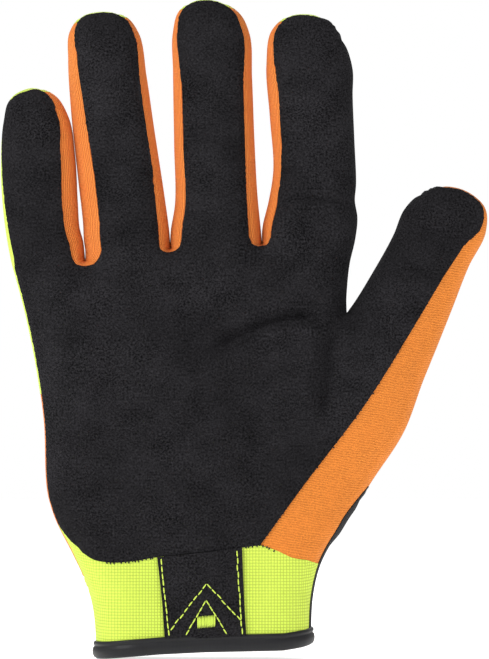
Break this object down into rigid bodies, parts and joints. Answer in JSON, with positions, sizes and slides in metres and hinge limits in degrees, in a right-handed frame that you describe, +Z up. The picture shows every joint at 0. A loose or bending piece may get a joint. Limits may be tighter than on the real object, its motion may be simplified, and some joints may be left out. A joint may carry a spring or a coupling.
{
  "type": "work glove",
  "caption": "Right-hand work glove with a black suede palm, orange finger sides, bright yellow-green back and cuff, and a wrist strap.",
  "frame": {"origin": "centre of the hand opening at the lower edge of the cuff", "axes": "+Z up the hand towards the fingertips, +X towards the thumb side, the palm faces -Y"},
  "size_m": [0.1782, 0.0403, 0.2402],
  "materials": {
    "black_suede": "brushed synthetic leather, matte",
    "orange_knit": "fine ribbed stretch knit",
    "orange_terry": "looped terry cloth",
    "lime_stretch": "smooth stretch knit",
    "lime_webbing": "open square weave elastic",
    "black_neoprene": "fabric-faced foam rubber",
    "black_binding": "folded smooth tape",
    "black_strap": "moulded soft rubber",
    "black_hook_loop": "hook and loop tape"
  },
  "bodies": {
    "hand": {"palm_panel": "black_suede", "thumb_terry_base": "orange_terry", "cuff_front_pinky_side": "lime_webbing", "cuff_front_thumb_side": "lime_webbing", "back_knuckle_panel": "lime_stretch", "back_lower_panel": "orange_knit", "cuff_back_panel": "black_neoprene", "pull_tab": "black_suede", "cuff_binding": "black_binding", "strap_anchor": "black_strap", "loop_patch": "black_hook_loop", "knuckle_pad": "black_neoprene", "web_pinky_ring": "orange_knit", "web_ring_middle": "orange_knit", "web_middle_index": "orange_knit"},
    "closure_strap": {"strap": "black_strap", "hook_patch": "black_hook_loop"},
    "pinky_lower": {"pinky_front_lower": "black_suede", "pinky_back_lower": "lime_stretch", "pinky_fourchette_outer_lower": "orange_knit"},
    "pinky_upper": {"pinky_front_upper": "black_suede", "pinky_back_upper": "lime_stretch", "pinky_fourchette_outer_upper": "orange_knit"},
    "ring_lower": {"ring_front_lower": "black_suede", "ring_back_lower": "lime_stretch", "ring_fourchette_inner_lower": "orange_knit", "ring_fourchette_outer_lower": "orange_knit"},
    "ring_upper": {"ring_front_upper": "black_suede", "ring_back_upper": "lime_stretch", "ring_fourchette_inner_upper": "orange_knit", "ring_fourchette_outer_upper": "orange_knit"},
    "middle_lower": {"middle_front_lower": "black_suede", "middle_back_lower": "lime_stretch", "middle_fourchette_inner_lower": "orange_knit", "middle_fourchette_outer_lower": "orange_knit"},
    "middle_upper": {"middle_front_upper": "black_suede", "middle_back_upper": "lime_stretch", "middle_fourchette_inner_upper": "orange_knit", "middle_fourchette_outer_upper": "orange_knit"},
    "index_lower": {"index_front_lower": "black_suede", "index_back_lower": "lime_stretch", "index_fourchette_inner_lower": "orange_knit"},
    "index_upper": {"index_front_upper": "black_suede", "index_back_upper": "lime_stretch", "index_fourchette_inner_upper": "orange_knit"},
    "thumb_lower": {"thumb_front_lower": "black_suede", "thumb_back_lower": "orange_terry"},
    "thumb_upper": {"thumb_front_upper": "black_suede", "thumb_back_upper": "orange_terry"}
  },
  "joints": [
    {"name": "pinky_base_flex", "type": "hinge", "parent": "hand", "child": "pinky_lower", "pos_m": [-0.05716, -0.00925, 0.1429], "axis": [0.9954, 0, 0.0958], "range_deg": [0, 75]},
    {"name": "pinky_middle_flex", "type": "hinge", "parent": "pinky_lower", "child": "pinky_upper", "pos_m": [-0.05975, -0.00913, 0.16978], "axis": [0.9954, 0, 0.0958], "range_deg": [0, 83]},
    {"name": "ring_base_flex", "type": "hinge", "parent": "hand", "child": "ring_lower", "pos_m": [-0.02811, -0.01, 0.1466], "axis": [0.994, 0, 0.1097], "range_deg": [0, 75]},
    {"name": "ring_middle_flex", "type": "hinge", "parent": "ring_lower", "child": "ring_upper", "pos_m": [-0.03206, -0.00985, 0.18238], "axis": [0.994, 0, 0.1097], "range_deg": [0, 83]},
    {"name": "middle_base_flex", "type": "hinge", "parent": "hand", "child": "middle_lower", "pos_m": [0.00439, -0.0105, 0.1499], "axis": [0.9997, 0, 0.0262], "range_deg": [0, 75]},
    {"name": "middle_middle_flex", "type": "hinge", "parent": "middle_lower", "child": "middle_upper", "pos_m": [0.00342, -0.01022, 0.18689], "axis": [0.9997, 0, 0.0262], "range_deg": [0, 83]},
    {"name": "index_base_flex", "type": "hinge", "parent": "hand", "child": "index_lower", "pos_m": [0.03848, -0.0105, 0.1509], "axis": [1, 0, -0.007], "range_deg": [0, 75]},
    {"name": "index_middle_flex", "type": "hinge", "parent": "index_lower", "child": "index_upper", "pos_m": [0.03872, -0.01011, 0.1849], "axis": [1, 0, -0.007], "range_deg": [0, 83]},
    {"name": "thumb_base_flex", "type": "hinge", "parent": "hand", "child": "thumb_lower", "pos_m": [0.06947, -0.011, 0.11629], "axis": [0.9092, 0, -0.4163], "range_deg": [0, 45]},
    {"name": "thumb_middle_flex", "type": "hinge", "parent": "thumb_lower", "child": "thumb_upper", "pos_m": [0.08029, -0.01084, 0.13993], "axis": [0.9092, 0, -0.4163], "range_deg": [0, 54.5]},
    {"name": "strap_peel", "type": "hinge", "parent": "hand", "child": "closure_strap", "pos_m": [0.0308, 0.02, 0.02], "axis": [0, 0, -1], "range_deg": [0, 150]}
  ],
  "couplings": [
    {"joint": "pinky_middle_flex", "follows": "pinky_base_flex", "ratio": 1.1},
    {"joint": "ring_middle_flex", "follows": "ring_base_flex", "ratio": 1.1},
    {"joint": "middle_middle_flex", "follows": "middle_base_flex", "ratio": 1.1},
    {"joint": "index_middle_flex", "follows": "index_base_flex", "ratio": 1.1},
    {"joint": "thumb_middle_flex", "follows": "thumb_base_flex", "ratio": 1.2}
  ]
}
